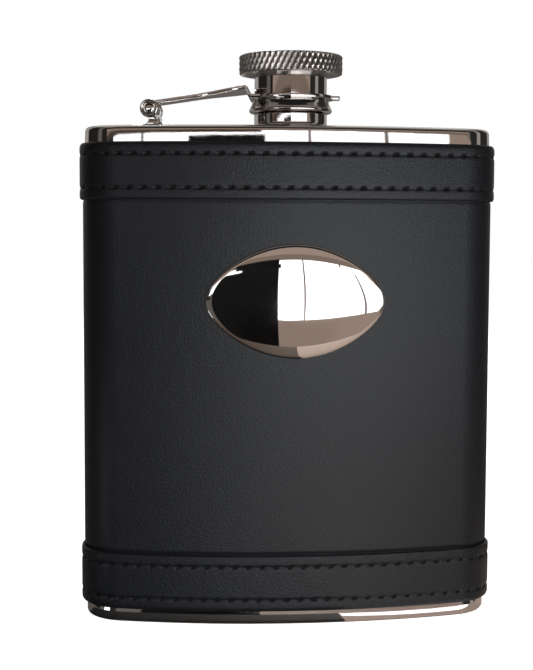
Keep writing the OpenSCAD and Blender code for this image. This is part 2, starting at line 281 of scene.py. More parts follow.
def kidney(count, out, gap=0.0):
    """Points on the steel's outline and the directions out of it, from the middle of the back and
    round again, evenly spaced along a layer that far out. A gap leaves the loop open at the back."""
    front_turn = math.asin(corner_x / (FRONT_R - CORNER_R))
    back_turn = math.asin(corner_x / (back_r + CORNER_R))
    front_y = bend_y - (FRONT_R - CORNER_R) * math.cos(front_turn)
    back_y = bend_y - (back_r + CORNER_R) * math.cos(back_turn)
    right, half = math.pi / 2, 600
    arcs = [
        (0, bend_y, back_r, -1, -right, -right - back_turn),
        (-corner_x, back_y, CORNER_R, 1, right - back_turn, math.pi),
        (-corner_x, front_y, CORNER_R, 1, math.pi, 3 * right - front_turn),
        (0, bend_y, FRONT_R, 1, -right - front_turn, -right + front_turn),
        (corner_x, front_y, CORNER_R, 1, -right + front_turn, 0),
        (corner_x, back_y, CORNER_R, 1, 0, right + back_turn),
        (0, bend_y, back_r, -1, -right + back_turn, -right),
    ]
    spots, outs = [], []
    for x, y, r, side, start, end in arcs:
        for a in np.linspace(start, end, half):
            spots.append((x + r * math.cos(a), y + r * math.sin(a)))
            outs.append((side * math.cos(a), side * math.sin(a)))
    spots, outs = np.array(spots), np.array(outs)
    layer = spots + out * outs
    along = np.concatenate([[0], np.cumsum(np.linalg.norm(np.diff(layer, axis=0), axis=1))])
    stops = (np.linspace(gap / 2, along[-1] - gap / 2, count) if gap
             else np.linspace(0, along[-1], count, endpoint=False))
    points = np.stack([np.interp(stops, along, spots[:, i]) for i in (0, 1)], axis=1)
    normals = np.stack([np.interp(stops, along, outs[:, i]) for i in (0, 1)], axis=1)
    return points, normals / np.linalg.norm(normals, axis=1)[:, None], stops


def grid_faces(rows, columns, wrap_rows, wrap_columns):
    """Quads over a grid of points laid out row by row."""
    return [
        (r * columns + c, r * columns + (c + 1) % columns,
         (r + 1) % rows * columns + (c + 1) % columns, (r + 1) % rows * columns + c)
        for r in range(rows if wrap_rows else rows - 1)
        for c in range(columns if wrap_columns else columns - 1)]


def smooth(mesh, sharp):
    """Smooths a mesh, but for its edges sharper than this many degrees."""
    mesh.shade_smooth()
    mesh.set_sharp_from_angle(angle=math.radians(sharp))
    return mesh


def mark(mesh, name, values):
    """Gives each point of a mesh a number or a direction to carry."""
    values = np.asarray(values, dtype=float)
    kind, field = ("FLOAT", "value") if values.ndim == 1 else ("FLOAT_VECTOR", "vector")
    mesh.attributes.new(name, kind, "POINT").data.foreach_set(field, values.ravel())


def merge_doubles(mesh):
    """Merges a mesh's doubled points and turns its faces outwards."""
    work = bmesh.new()
    work.from_mesh(mesh)
    bmesh.ops.remove_doubles(work, verts=work.verts, dist=1e-7)
    bmesh.ops.recalc_face_normals(work, faces=work.faces)
    work.to_mesh(mesh)
    work.free()


def keep(work, name):
    """Keeps a work mesh under a name, with its faces turned outwards."""
    bmesh.ops.recalc_face_normals(work, faces=work.faces)
    mesh = bpy.data.meshes.new(name)
    work.to_mesh(mesh)
    work.free()
    return mesh


def smooth_mesh(name, points, faces, sharp=35.0, pulled_in=None):
    """A mesh with its doubles merged, its faces pointing out, smooth but for its sharp edges. It can
    carry how far each point is pulled in, in millimetres."""
    mesh = bpy.data.meshes.new(name)
    mesh.from_pydata([tuple(p) for p in points], [], faces)
    if pulled_in is not None:
        mark(mesh, "pulled_in", pulled_in)
    merge_doubles(mesh)
    return smooth(mesh, sharp)


def kidney_wall(name, profile, count, out, gap=0.0, shape=None):
    """A closed profile of (out, height) points run round the kidney. shape may move each point."""
    points, normals, stops = kidney(count, out, gap)
    outs = np.array([p[0] for p in profile])
    heights = np.array([p[1] for p in profile])
    reach = np.repeat(outs[None, :], count, axis=0)
    pulled_in = None
    if shape:
        move = shape(stops[:, None], outs[None, :], heights[None, :])
        reach = reach + move
        pulled_in = (-move / MM).ravel()
    flat = points[:, None, :] + normals[:, None, :] * reach[:, :, None]
    tall = np.repeat(heights[None, :, None], count, axis=0)
    columns = len(profile)
    faces = grid_faces(count, columns, not gap, True)
    if gap:
        faces += [tuple(range(columns)), tuple(range((count - 1) * columns, count * columns))]
    return smooth_mesh(name, np.concatenate([flat, tall], axis=2).reshape(-1, 3), faces, pulled_in=pulled_in)


def quarter(centre, radius, start, end, steps, squash=1.0):
    """Points of an arc in a profile, angles in degrees."""
    return [(centre[0] + radius * math.cos(math.radians(a)),
             centre[1] + squash * radius * math.sin(math.radians(a)))
            for a in np.linspace(start, end, steps)]


def fit_piece(piece, body, node):
    """Puts a piece on its body in the place of its CAD node, which it hides."""
    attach(piece, body)
    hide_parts(node)
    return piece


def noise(tree, scale, **more):
    """Noise over a piece in its own space, as a socket."""
    place = add_node(tree, "ShaderNodeTexCoord").outputs["Object"]
    return add_node(tree, "ShaderNodeTexNoise", {"Vector": place, "Scale": scale, **more}).outputs["Fac"]


def bump(tree, height, strength, distance, **more):
    """A bump, as a socket for a shader's normal."""
    return add_node(tree, "ShaderNodeBump", {
        "Height": height, "Strength": strength, "Distance": distance, **more}).outputs[0]


def mirror_steel():
    """304 stainless sheet, pressed and buffed. The buffing leaves faint waves and hairlines, which
    bend and soften what it reflects a little."""
    made, tree = new_material("buffed_stainless")
    place = add_node(tree, "ShaderNodeTexCoord").outputs["Object"]
    hairs = add_node(tree, "ShaderNodeMapping", {"Vector": place, "Scale": (400, 400, 9000)})
    lines = add_node(tree, "ShaderNodeTexNoise", {
        "Vector": hairs.outputs[0], "Scale": 1.0, "Detail": 2.0}).outputs["Fac"]
    waves = bump(tree, noise(tree, 90.0, Detail=1.0), 0.05, 0.0006)
    return finished(made, {
        "Base Color": linear("#D5D1CD"), "Metallic": 1.0,
        "Roughness": spread(tree, lines, 0.3, 0.7, 0.015, 0.05),
        "Normal": bump(tree, lines, 0.02, 0.00005, Normal=waves)})


buffed = mirror_steel()
OUTLINE_STEPS = 480
TURNS = 96

LEAN = math.tan(math.radians(2))
LEAN_FROM = 106.9 * MM
LIP_IN = 0.24 * MM
lid_in = (shell_high[2] - LEAN_FROM) * LEAN
shell_profile = (
    [(0, shell_low[2]), (-0.2 * LIP_IN, shell_low[2] + 0.25 * MM), (-LIP_IN, shell_low[2] + 0.95 * MM),
     (0, shell_low[2] + 1.4 * MM), (0, LEAN_FROM), (-lid_in, shell_high[2])]
    + [(-SHEET - lid_in, shell_high[2]), (-SHEET, LEAN_FROM), (-SHEET - LIP_IN, shell_low[2] + 1.2 * MM),
       (-SHEET, shell_low[2])])
fit_piece(make_object("bottle_tube", kidney_wall("bottle_tube", shell_profile, OUTLINE_STEPS, 0), buffed),
          "flask", "body_shell")

cap_axis = Vector(next(j for j in frame["joints"] if j["name"] == "cap_turn")["pos_m"])
SPIGOT_R = 7 * MM


def end_plate(name, profile, hole_r=None):
    """A stamped end plate: a profile from its flange's inside, over the edge, to its middle, on both
    faces, with flat discs across the two middles and a hole through them for the neck."""
    points, normals, _ = kidney(OUTLINE_STEPS, 0)
    work = bmesh.new()
    rings = [[work.verts.new((*(p + n * out), z)) for p, n in zip(points, normals)] for out, z in profile]
    for ring, above in zip(rings, rings[1:]):
        for i in range(OUTLINE_STEPS):
            j = (i + 1) % OUTLINE_STEPS
            work.faces.new((ring[i], ring[j], above[j], above[i]))
    hole_rings = []
    for ring in (rings[0], rings[-1]):
        edges = [work.edges.get((ring[i], ring[(i + 1) % OUTLINE_STEPS])) for i in range(OUTLINE_STEPS)]
        if hole_r:
            turn = np.linspace(0, 2 * math.pi, TURNS, endpoint=False)
            hole = [work.verts.new((cap_axis.x + hole_r * math.cos(a), cap_axis.y + hole_r * math.sin(a),
                                    ring[0].co.z)) for a in turn]
            edges += [work.edges.new((hole[i], hole[(i + 1) % TURNS])) for i in range(TURNS)]
            hole_rings.append(hole)
        bmesh.ops.triangle_fill(work, use_beauty=True, edges=edges)
    if hole_rings:
        low, high = hole_rings
        for i in range(TURNS):
            j = (i + 1) % TURNS
            work.faces.new((low[i], low[j], high[j], high[i]))
    return smooth(keep(work, name), 50)


FLAT_LIP = 0.15 * MM
lid_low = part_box("top_plate")[0][2]
edge_in = lid_in + (top_z - EDGE_R - lid_low) * LEAN + EDGE_R
lid_profile = (
    [(-edge_in - FLAT_LIP, top_z - SHEET), (-edge_in, top_z - SHEET), (-SHEET - lid_in, top_z - EDGE_R),
     (-SHEET - lid_in, lid_low), (-lid_in, lid_low)]
    + quarter((-edge_in, top_z - EDGE_R), EDGE_R, 0, 90, 9)
    + [(-edge_in - FLAT_LIP, top_z)])
fit_piece(make_object("stamped_lid", end_plate("stamped_lid", lid_profile, SPIGOT_R), buffed),
          "flask", "top_plate")

base_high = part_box("base_plate")[1][2]
base_profile = (
    [(-RECESS_IN - FLAT_LIP, RECESS + SHEET), (-RECESS_IN - SHEET / 2, RECESS + SHEET),
     (1 * MM - RECESS_IN, SHEET),
     (-EDGE_R, SHEET), (-SHEET, EDGE_R), (-SHEET, base_high), (0, base_high)]
    + quarter((-EDGE_R, EDGE_R), EDGE_R, 0, -90, 9)
    + quarter((1.5 * MM - RECESS_IN, RECESS / 2), RECESS / 2, -90, -180, 6)
    + [(-RECESS_IN, RECESS), (-RECESS_IN - FLAT_LIP, RECESS)])
fit_piece(make_object("stamped_base", end_plate("stamped_base", base_profile), buffed),
          "flask", "base_plate")

# --- Neck --------------------------------------------------------------------------------
# A turned stainless spout, welded into the lid. Its foot is plain and polished, with a
# small weld fillet round it, and its upper half carries the thread that the cap screws on.
FOOT_R = 8.15 * MM
NECK_R = 6.3 * MM
BORE_R = 5 * MM
RIDGE = 0.45 * MM
PITCH = 1.5 * MM
THREAD_TURNS = 144
neck_low, neck_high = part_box("neck")
shoulder_z = top_z + 3 * MM


def thread_rise(height, turn):
    """How far a thread stands out at a height above its start, from 0 to 1."""
    phase = (height / PITCH - turn) % 1.0
    return float(np.clip(1.35 - abs(phase - 0.5) * 5.2, 0.0, 1.0))


def turned(name, profile, steps=TURNS, thread=None, axis=cap_axis, sharp=35.0):
    """A closed profile of (radius, height) points turned about an upright axis. thread names the
    stretch of heights that carries a thread, and how far out it stands."""
    points = []
    for i in range(steps):
        turn = i / steps
        for r, z in profile:
            if thread and thread[0] < z < thread[1] and abs(r - thread[2]) < 1e-6:
                fade = min(1.0, (z - thread[0]) / PITCH, (thread[1] - z) / PITCH)
                r += thread[3] * fade * thread_rise(z - thread[0], turn)
            points.append((axis.x + r * math.cos(2 * math.pi * turn),
                           axis.y + r * math.sin(2 * math.pi * turn), z))
    return smooth_mesh(name, points, grid_faces(steps, len(profile), True, True), sharp)


root_r = NECK_R - RIDGE
thread_low, thread_high = shoulder_z + 0.4 * MM, neck_high[2] - 0.5 * MM
neck_profile = (
    [(BORE_R, neck_low[2]), (SPIGOT_R, neck_low[2]), (SPIGOT_R, top_z), (FOOT_R + 0.9 * MM, top_z)]
    + quarter((FOOT_R + 0.9 * MM, top_z + 0.9 * MM), 0.9 * MM, 262, 180, 7)
    + [(FOOT_R, top_z + 1.0 * MM), (FOOT_R, shoulder_z - 0.35 * MM), (FOOT_R, shoulder_z - 0.27 * MM)]
    + quarter((FOOT_R - 0.25 * MM, shoulder_z - 0.25 * MM), 0.25 * MM, 5, 90, 5)
    + [(root_r + 0.2 * MM, shoulder_z), (root_r, shoulder_z + 0.2 * MM)]
    + [(root_r, z) for z in np.linspace(thread_low, thread_high, 60)]
    + quarter((root_r - 0.4 * MM, neck_high[2] - 0.4 * MM), 0.4 * MM, 0, 90, 5)
    + quarter((BORE_R + 0.2 * MM, neck_high[2] - 0.2 * MM), 0.2 * MM, 90, 180, 4))
neck_mesh = turned("threaded_neck", neck_profile, THREAD_TURNS, (thread_low, thread_high, root_r, RIDGE))
fit_piece(make_object("threaded_neck", neck_mesh, buffed), "flask", "neck")

# --- Screw cap: sleeve, seal and collar --------------------------------------------------
# A polished sleeve, threaded inside and closed at the top, holds a white silicone washer.
# A flared collar is pressed over its lower end, so the arm's ring can't slip off.
SLEEVE_R = 8.1 * MM
SLEEVE_IN = 6.95 * MM
COLLAR_R = 9.3 * MM
sleeve_low, sleeve_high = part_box("cap_sleeve")
seal_low, seal_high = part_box("cap_seal")
head_low, head_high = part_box("cap_head")
inner_root = SLEEVE_IN + RIDGE
sleeve_profile = (
    [(0.0, sleeve_high[2]), (0.0, seal_high[2]), (inner_root, seal_high[2]),
     (inner_root, seal_high[2] - 0.2 * MM)]
    + [(inner_root, z) for z in np.linspace(seal_low[2] - 0.6 * MM, sleeve_low[2] + 0.4 * MM, 56)]
    + [(inner_root, sleeve_low[2]), (SLEEVE_R, sleeve_low[2]),
       (SLEEVE_R, head_low[2] - 0.85 * MM), (SLEEVE_R, head_low[2] - 0.77 * MM)]
    + quarter((SLEEVE_R, head_low[2] - 0.5 * MM), 0.25 * MM, 270, 180, 5)
    + [(SLEEVE_R - 0.25 * MM, head_low[2]), (SLEEVE_R - 0.25 * MM, sleeve_high[2])])
sleeve_thread = (sleeve_low[2] + 0.3 * MM, seal_low[2] - 0.5 * MM, inner_root, -RIDGE)
sleeve_mesh = turned("threaded_sleeve", sleeve_profile, THREAD_TURNS, sleeve_thread)
fit_piece(make_object("threaded_sleeve", sleeve_mesh, buffed), "cap", "cap_sleeve")

collar_low, collar_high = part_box("cap_collar")
lip_in = SLEEVE_IN + 0.15 * MM
ROLL_R = 0.58 * MM
cove = [(8.98, 1.42), (8.85, 1.68), (8.72, 1.98), (8.62, 2.3), (8.56, 2.62), (8.53, 2.85)]
collar_profile = (
    [(lip_in, collar_low[2] + 0.25 * MM), (lip_in, collar_low[2] + 0.05 * MM),
     (lip_in + 0.05 * MM, collar_low[2]), (COLLAR_R - ROLL_R - 0.35 * MM, collar_low[2])]
    + quarter((COLLAR_R - ROLL_R, collar_low[2] + ROLL_R + 0.06 * MM), ROLL_R, 262, 410, 15)
    + [(r * MM, collar_low[2] + z * MM) for r, z in cove]
    + [(8.48 * MM, collar_high[2]), (SLEEVE_R, collar_high[2]), (SLEEVE_R, collar_low[2] + 0.25 * MM)])
fit_piece(make_object("flared_collar", turned("flared_collar", collar_profile), buffed),
          "cap", "cap_collar")


def silicone_rubber():
    """Moulded white silicone: soft, slightly see-through and satin."""
    made, tree = new_material("white_silicone")
    return finished(made, {
        "Base Color": linear("#E9E8E2"), "Roughness": 0.45, "IOR": 1.41,
        "Subsurface Weight": 0.2, "Subsurface Scale": 0.001,
        "Normal": bump(tree, noise(tree, 3000.0), 0.1, 0.0001)})


seal_r = inner_root - 0.25 * MM
seal_profile = (
    [(0.0, seal_high[2]), (0.0, seal_low[2] + 0.15 * MM), (BORE_R - 0.3 * MM, seal_low[2] + 0.15 * MM),
     (BORE_R, seal_low[2])]
    + quarter((seal_r - 0.2 * MM, seal_low[2] + 0.2 * MM), 0.2 * MM, 270, 360, 5)
    + [(seal_r, seal_high[2])])
fit_piece(make_object("silicone_washer", turned("silicone_washer", seal_profile), silicone_rubber()),
          "cap", "cap_seal")

# --- Screw cap: knurled head -------------------------------------------------------------
# A turned stainless disc, pressed on the sleeve. Its rim is rolled with a diamond knurl for
# grip, in which the grooves that lean one way are cut deeper, and both its edges are broken.
HEAD_R = 11.6 * MM
KNURL_CRESTS = 54
KNURL_LEAN = math.radians(28)
KNURL_DEEP = 0.42 * MM
KNURL_SHALLOW = 0.17 * MM
RIM_STEPS = KNURL_CRESTS * 14
RIM_ROWS = 46
BREAK = 0.45 * MM


def new_tree(name, *values):
    """A geometry node tree that takes a geometry, these values and a finish, and its input sockets."""
    tree = bpy.data.node_groups.new(name, "GeometryNodeTree")
    face = tree.interface
    face.new_socket("Geometry", in_out="INPUT", socket_type="NodeSocketGeometry")
    for value in values:
        face.new_socket(value, in_out="INPUT", socket_type="NodeSocketFloat")
    face.new_socket("Finish", in_out="INPUT", socket_type="NodeSocketMaterial")
    face.new_socket("Geometry", in_out="OUTPUT", socket_type="NodeSocketGeometry")
    return tree, tree.nodes.new("NodeGroupInput").outputs[:len(values) + 2]


def end_tree(tree, geometry, finish):
    """Ends a tree with every instance made real and the finish put on."""
    whole = add_node(tree, "GeometryNodeRealizeInstances", {"Geometry": geometry})
    done = add_node(tree, "GeometryNodeSetMaterial", {"Geometry": whole.outputs[0], "Material": finish})
    add_node(tree, "NodeGroupOutput", {0: done.outputs[0]})
    return tree


def carried(tree, name, kind="FLOAT"):
    """What each point of a geometry carries under a name, as a socket."""
    return add_node(tree, "GeometryNodeInputNamedAttribute", {"Name": name}, data_type=kind).outputs[0]


def knurl_tree():
    """A node tree that sinks two leaning sets of grooves into a rim, along each point's own way out.
    The rim's points carry how far round they are, from 0 to 1, and how high up, in metres."""
    tree, (rim_in, crests, lean, deep, shallow, finish) = new_tree(
        "diamond_knurl", "Crests round the rim", "Shift per metre of height", "Deep cut", "Shallow cut")
    bite = carried(tree, "bite")
    around = maths(tree, "MULTIPLY", carried(tree, "round"), crests)
    climb = maths(tree, "MULTIPLY", carried(tree, "high"), lean)
    cuts = []
    for way, depth in (("SUBTRACT", deep), ("ADD", shallow)):
        tooth = maths(tree, "PINGPONG", maths(tree, way, around, climb), 0.5)
        cuts.append(maths(tree, "MULTIPLY", spread(tree, tooth, 0.09, 0.5), depth))
    sunk = maths(tree, "MULTIPLY", maths(tree, "MAXIMUM", *cuts), bite)
    shift = add_node(tree, "ShaderNodeVectorMath", {
        0: carried(tree, "outward", "FLOAT_VECTOR"), "Scale": maths(tree, "MULTIPLY", sunk, -1.0)},
        operation="SCALE")
    moved = add_node(tree, "GeometryNodeSetPosition", {"Geometry": rim_in, "Offset": shift.outputs[0]})
    # How deep each point is cut, 0.5 off the knurl. The finish paints shade into the cuts from it.
    plain = maths(tree, "MULTIPLY_ADD", bite, -0.5, 0.5)
    cut = maths(tree, "ADD", maths(tree, "DIVIDE", sunk, deep), plain)
    marked = add_node(tree, "GeometryNodeStoreNamedAttribute", {
        "Geometry": moved.outputs[0], "Name": "cut", "Value": cut}, data_type="FLOAT", domain="POINT")
    return end_tree(tree, marked.outputs[0], finish)


def run_tree(piece, tree, **values):
    """Runs a node tree on a piece with named values, and keeps the result as a plain mesh."""
    modifier = piece.modifiers.new(tree.name, "NODES")
    modifier.node_group = tree
    for item in tree.interface.items_tree:
        if item.in_out == "INPUT" and item.name in values:
            modifier[item.identifier] = values[item.name]
    bpy.context.view_layer.update()
    baked = bpy.data.meshes.new_from_object(piece.evaluated_get(bpy.context.evaluated_depsgraph_get()))
    piece.modifiers.remove(modifier)
    old = piece.data
    piece.data = baked
    bpy.data.meshes.remove(old)
    return piece


def knurled_steel():
    """Stainless steel as the knurling rolls leave it: satin, with painted shade in the cuts and a
    painted highlight on the crests."""
    made, tree = new_material("knurled_stainless")
    grain = noise(tree, 2500.0, Detail=3.0)
    cut = add_node(tree, "ShaderNodeAttribute", attribute_name="cut").outputs["Fac"]
    # Painted shade and highlight: the colour darkens with the depth of the cut and is bright on the crests.
    knurl_shade_and_highlight = spread(tree, cut, 0.85, 0.1)
    return finished(made, {
        "Base Color": mix(tree, knurl_shade_and_highlight, linear("#736F6A"), linear("#BCB7B1")), "Metallic": 1.0,
        "Roughness": spread(tree, grain, 0.3, 0.7, 0.26, 0.42),
        "Normal": bump(tree, grain, 0.15, 0.0001)})


knurled = knurled_steel()
socket_r = SLEEVE_R - 0.25 * MM
rim = [(HEAD_R - BREAK * (1 - math.sin(a)), head_low[2] + BREAK * (1 - math.cos(a)), 0.0)
       for a in np.linspace(0, math.pi / 2, 5)[:-1]]
rim += [(HEAD_R, z, 1.0) for z in np.linspace(head_low[2] + BREAK, head_high[2] - BREAK, RIM_ROWS)]
rim += [(HEAD_R - BREAK * (1 - math.cos(a)), head_high[2] - BREAK * (1 - math.sin(a)), 0.0)
        for a in np.linspace(0, math.pi / 2, 5)[1:]]
DISH = 0.12 * MM
head_profile = [(0.0, sleeve_high[2], 0.0), (socket_r, sleeve_high[2], 0.0), (socket_r, head_low[2], 0.0),
                (HEAD_R - 2 * BREAK, head_low[2], 0.0)]
head_profile += rim
head_profile += [(HEAD_R - 2.2 * BREAK, head_high[2], 0.0), (HEAD_R - 3 * BREAK, head_high[2] - DISH, 0.0),
                 (0.0, head_high[2] - DISH, 0.0)]
head_points, around, high, bite, outward = [], [], [], [], []
for i in range(RIM_STEPS):
    a = 2 * math.pi * i / RIM_STEPS
    for r, z, cut in head_profile:
        head_points.append((cap_axis.x + r * math.cos(a), cap_axis.y + r * math.sin(a), z))
        around.append(i / RIM_STEPS)
        high.append(z - head_low[2])
        outward.append((math.cos(a), math.sin(a), 0.0))
        end = min(z - head_low[2], head_high[2] - z) / BREAK
        bite.append(min(1.0, max(0.0, end)) if r > HEAD_R - 1.01 * BREAK else 0.0)
head_mesh = bpy.data.meshes.new("knurled_head")
head_mesh.from_pydata(head_points, [], grid_faces(RIM_STEPS, len(head_profile), True, True))
for name, values in (("round", around), ("high", high), ("bite", bite), ("outward", outward)):
    mark(head_mesh, name, values)
head = make_object("knurled_head", head_mesh, knurled)
run_tree(head, knurl_tree(), **{
    "Crests round the rim": float(KNURL_CRESTS),
    "Shift per metre of height": KNURL_CRESTS * math.tan(KNURL_LEAN) / (2 * math.pi * HEAD_R),
    "Deep cut": KNURL_DEEP, "Shallow cut": KNURL_SHALLOW, "Finish": knurled})
merge_doubles(head.data)
smooth(head.data, 28)
fit_piece(head, "cap", "cap_head")

# --- Hinge bracket and pin ---------------------------------------------------------------
# A small stainless bracket is welded to the lid. Each of its two ears is a round eye on a
# narrow foot, and a rivet through both, with one domed head, is the arm's hinge.
hinge = next(j for j in frame["joints"] if j["name"] == "arm_swing")
hinge_at = Vector(hinge["pos_m"])
hinge_way = -Vector(hinge["axis"])
arm_turn = math.atan2(-hinge_way.x, hinge_way.y)
arm_frame = Matrix.Translation((cap_axis.x, cap_axis.y, 0)) @ Matrix.Rotation(arm_turn, 4, "Z")
ARM_REACH = (Vector(hinge_at.xy) - Vector(cap_axis.xy)).length
EAR_GAP = 8 * MM
EAR_T = 0.9 * MM
EAR_R = 2.05 * MM
FOOT_W = 2 * MM
FOOT_SHIFT = 0.8 * MM
BRACKET_T = 0.5 * MM
BRACKET_L = 4.6 * MM
RIVET_R = 2.1 * MM
RIVET_H = 0.9 * MM
PIN_R = 0.6 * MM


def slab(name, outline, low, high, material, bevel, axis="Y"):
    """An outline drawn out between two planes in the arm's frame, with its edges broken."""
    work = bmesh.new()
    if axis == "Y":
        verts = [work.verts.new((x, low, z)) for x, z in outline]
    else:
        verts = [work.verts.new((x, y, low)) for x, y in outline]
    made = bmesh.ops.extrude_face_region(work, geom=[work.faces.new(verts)])
    push = (0, high - low, 0) if axis == "Y" else (0, 0, high - low)
    bmesh.ops.translate(work, vec=push, verts=[v for v in made["geom"] if isinstance(v, bmesh.types.BMVert)])
    piece = make_object(name, keep(work, name), material)
    broken = piece.modifiers.new("broken_edges", "BEVEL")
    broken.width = bevel
    broken.segments = 3
    broken.limit_method = "ANGLE"
    broken.angle_limit = math.radians(50)
    return settle(piece)


def settle(piece, place=None):
    """Keeps a piece's modifiers as plain mesh, moves the mesh to its place and smooths it."""
    bpy.context.view_layer.update()
    mesh = bpy.data.meshes.new_from_object(piece.evaluated_get(bpy.context.evaluated_depsgraph_get()))
    piece.modifiers.clear()
    piece.data = mesh
    mesh.transform(arm_frame if place is None else place)
    smooth(mesh, 35)
    return piece


def join(name, pieces):
    """Several plain pieces as one."""
    work = bmesh.new()
    for piece in pieces:
        work.from_mesh(piece.data)
    mesh = bpy.data.meshes.new(name)
    work.to_mesh(mesh)
    work.free()
    made = make_object(name, mesh, pieces[0].data.materials[0])
    for piece in pieces:
        bpy.data.objects.remove(piece)
    mesh.set_sharp_from_angle(angle=math.radians(35))
    return made


foot_x = FOOT_SHIFT - ARM_REACH
base_top = top_z + BRACKET_T
pin_z = hinge_at.z
EAR_FILLET = 1.9 * MM
foot_left, foot_right = foot_x - FOOT_W / 2, foot_x + FOOT_W / 2
ear_outline = (
    quarter((-ARM_REACH, pin_z), EAR_R, -38, 218, 40)
    + quarter((foot_left - EAR_FILLET, pin_z - 2.3 * MM), EAR_FILLET, 28, -8, 6)
    + [(foot_left - 0.15 * MM, base_top + 0.5 * MM), (foot_left - 0.8 * MM, base_top - 0.1 * MM)]
    + [(foot_right + 0.8 * MM, base_top - 0.1 * MM), (foot_right + 0.15 * MM, base_top + 0.5 * MM)]
    + quarter((foot_right + EAR_FILLET, pin_z - 2.3 * MM), EAR_FILLET, 188, 165, 5))
ears = []
for side in (-1, 1):
    ear_y = side * (EAR_GAP + EAR_T) / 2
    ears.append(slab("ear", ear_outline, ear_y - EAR_T / 2, ear_y + EAR_T / 2, buffed, 0.12 * MM))
half_l, half_w, round_r = BRACKET_L / 2, EAR_GAP / 2 + EAR_T, 0.5 * MM
plate_outline = [point for x, y, start in ((1, 1, 0), (-1, 1, 90), (-1, -1, 180), (1, -1, 270))
                 for point in quarter((foot_x + x * (half_l - round_r), y * (half_w - round_r)), round_r,
                                      start, start + 90, 6)]
plate = slab("plate", plate_outline, top_z, base_top, buffed, 0.15 * MM, "Z")
fit_piece(join("hinge_ears", ears + [plate]), "flask", "hinge_bracket")

ear_face = EAR_GAP / 2 + EAR_T
rivet_face = [(0.0, 0.62), (0.45, 0.66), (0.8, 0.58), (1.0, 0.42), (1.15, 0.4), (1.3, 0.62), (1.5, 0.9),
              (1.7, 1.0), (1.88, 0.94), (2.02, 0.72), (2.1, 0.4), (2.1, 0.15), (2.05, 0.0)]
shank = ([(r * MM, -ear_face - RIVET_H * h) for r, h in rivet_face]
         + [(PIN_R, -ear_face), (PIN_R, ear_face)]
         + quarter((RIVET_R - 0.7 * MM, ear_face + 0.2 * MM), 0.2 * MM, -90, 90, 5)
         + [(0.0, ear_face + RIVET_H / 2)])
lay_down = (arm_frame @ Matrix.Translation((-ARM_REACH, 0, pin_z)) @ Matrix.Rotation(-math.pi / 2, 4, "X"))
pin_mesh = turned("rivet", shank, 64, axis=Vector((0, 0, 0)))
pin_mesh.transform(lay_down)
fit_piece(make_object("hinge_rivet", pin_mesh, buffed), "flask", "hinge_pin")

# --- Captive arm -------------------------------------------------------------------------
# One strip of stainless: rolled round the hinge pin at one end, it rises towards the neck,
# widens, steps down in a sharp joggle and ends in a ring round the cap with a thumb tab.
STRIP_T = 0.75 * MM
STRIP_W = 7 * MM
ROOT_W = 14 * MM
RING_R = 9.65 * MM
RING_HOLE = 8.2 * MM
TAB_END = 11 * MM
TAB_W = 3.5 * MM
CURL_R = 1.35 * MM
arm_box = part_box("captive_arm")
ring_z = collar_high[2] + 0.15 * MM + STRIP_T / 2
crest_x, crest_z = -9.8 * MM, arm_box[1][2] - STRIP_T / 2 - 0.1 * MM
joggle_foot = -8.85 * MM


def rounded_way(corners, radii, step=0.1 * MM):
    """Points along straight stretches whose corners are rounded."""
    corners = [Vector(c) for c in corners]
    way = [corners[0]]
    for before, corner, after, r in zip(corners, corners[1:], corners[2:], radii):
        into, out = (before - corner).normalized(), (after - corner).normalized()
        half = into.angle(out) / 2
        cut = min(r / math.tan(half), 0.49 * (before - corner).length, 0.49 * (after - corner).length)
        start, end = corner + into * cut, corner + out * cut
        for i in range(13):
            t = i / 12
            way.append(start * (1 - t) ** 2 + corner * 2 * t * (1 - t) + end * t ** 2)
    way.append(corners[-1])
    dense = [way[0]]
    for a, b in zip(way, way[1:]):
        pieces = max(1, math.ceil((b - a).length / step))
        dense += [a.lerp(b, (i + 1) / pieces) for i in range(pieces)]
    return dense


pin_spot = Vector((-ARM_REACH, pin_z))
rise = math.atan2(crest_z - (pin_z + CURL_R), crest_x + ARM_REACH)
leave = pin_spot + CURL_R * Vector((-math.sin(rise), math.cos(rise)))
side_way = rounded_way(
    [(TAB_END, ring_z), (joggle_foot, ring_z), (crest_x, crest_z), tuple(leave)], (0.5 * MM, 0.7 * MM))
side_way += [pin_spot + CURL_R * Vector((math.cos(a), math.sin(a)))
             for a in np.linspace(math.pi / 2 + rise, math.pi / 2 + rise + math.radians(295), 60)[1:]]
side_at = np.array([tuple(p) for p in side_way])
side_run = TAB_END - np.concatenate([[0], np.cumsum(np.linalg.norm(np.diff(side_at, axis=0), axis=1))])


def smooth_step(t):
    """An even S from 0 to 1."""
    t = min(1.0, max(0.0, t))
    return t * t * (3 - 2 * t)


RING_JOIN = -8.3 * MM
ring_start = math.pi - math.asin(ROOT_W / 2 / RING_R)
ring_end = math.asin(TAB_W / 2 / RING_R)
ring_side = [(RING_R * math.cos(a), RING_R * math.sin(a)) for a in np.linspace(ring_start, ring_end, 40)]
ring_side += quarter((TAB_END - 0.6 * MM, TAB_W / 2 - 0.6 * MM), 0.6 * MM, 90, 0, 6)
STRIP_COLUMNS = 13
across = np.linspace(-1, 1, STRIP_COLUMNS)
stations = [RING_JOIN] + [float(run) for run in side_run if run < RING_JOIN - 0.08 * MM]
work = bmesh.new()
rows = []
for run in stations:
    half = STRIP_W / 2 + (ROOT_W - STRIP_W) / 2 * smooth_step((run + 22 * MM) / (11 * MM))
    rows.append([work.verts.new((run, half * share, 0)) for share in across])
ring_outline = ring_side + [(x, -y) for x, y in reversed(ring_side)]
outer = rows[0] + [work.verts.new((x, y, 0)) for x, y in ring_outline]
hole = [work.verts.new((RING_HOLE * math.cos(a), RING_HOLE * math.sin(a), 0))
        for a in np.linspace(0, 2 * math.pi, TURNS, endpoint=False)]
for loop in (outer, hole):
    for i, vert in enumerate(loop):
        work.edges.new((vert, loop[(i + 1) % len(loop)]))
